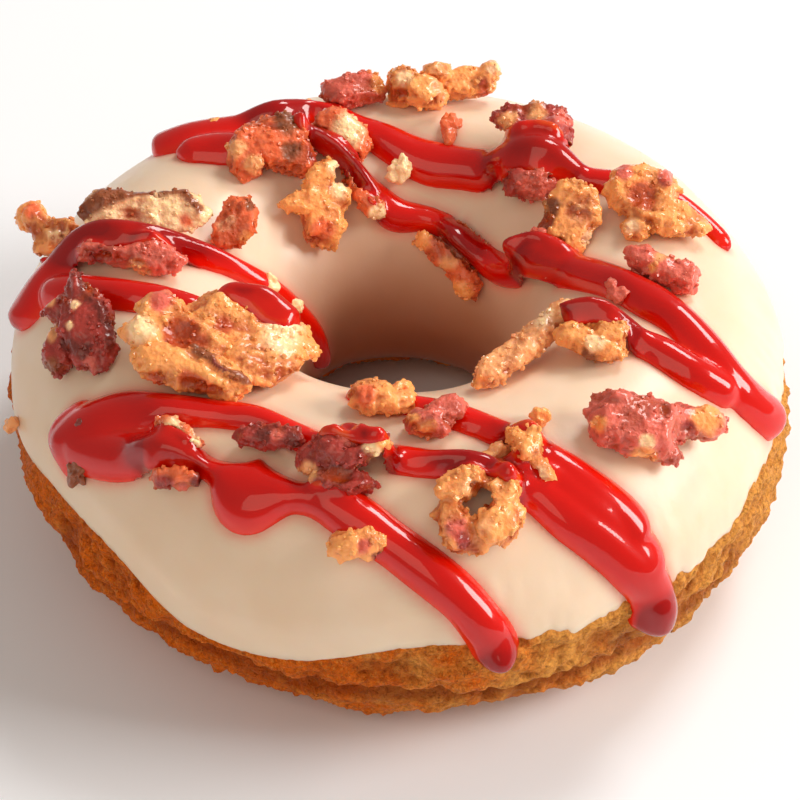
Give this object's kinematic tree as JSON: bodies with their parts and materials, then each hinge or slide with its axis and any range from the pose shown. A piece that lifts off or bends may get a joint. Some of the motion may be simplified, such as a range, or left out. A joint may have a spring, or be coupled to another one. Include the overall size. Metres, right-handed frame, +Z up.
{
  "type": "cake doughnut",
  "caption": "Ring cake doughnut with cream icing on its top and sides, zigzag drizzle of red fruit syrup and crumbled crisp bacon.",
  "frame": {"origin": "centre of the base, on the surface that the doughnut stands on", "axes": "+Z up through the hole, -Y towards the front side with the long sag of icing, +X to its right"},
  "size_m": [0.088, 0.0926, 0.0367],
  "materials": {
    "cake": "fried cake crust, golden brown, matt and craggy",
    "icing": "set cream icing, smooth with a soft satin gloss",
    "bacon": "crisp fried bacon, amber fat and pink to dark red meat, greasy gloss",
    "syrup": "clear red fruit syrup, wet gloss, darker where it is thick"
  },
  "bodies": {
    "root": {"cake_ring": "cake", "icing": "icing", "bacon_back_slab": "bacon", "bacon_back_lumps": "bacon", "bacon_back_spike": "bacon", "bacon_cup": "bacon", "bacon_fork": "bacon", "bacon_wedge": "bacon", "bacon_rib": "bacon", "bacon_two_lobes": "bacon", "bacon_triangle": "bacon", "bacon_over_hole": "bacon", "bacon_pink_fold": "bacon", "bacon_pink_strip": "bacon", "bacon_stick": "bacon", "bacon_twist": "bacon", "bacon_pink_chunk": "bacon", "bacon_gold_knob": "bacon", "bacon_wreath": "bacon", "bacon_curl": "bacon", "bacon_dark_sliver": "bacon", "bacon_gold_cluster": "bacon", "bacon_hole_gold": "bacon", "bacon_hole_pink": "bacon", "bacon_big_fold": "bacon", "bacon_dark_leaf": "bacon", "bacon_stalk": "bacon", "bacon_thin_plate": "bacon", "bacon_pink_slab": "bacon", "bacon_shard": "bacon", "bacon_red_edge": "bacon"}
  },
  "joints": []
}
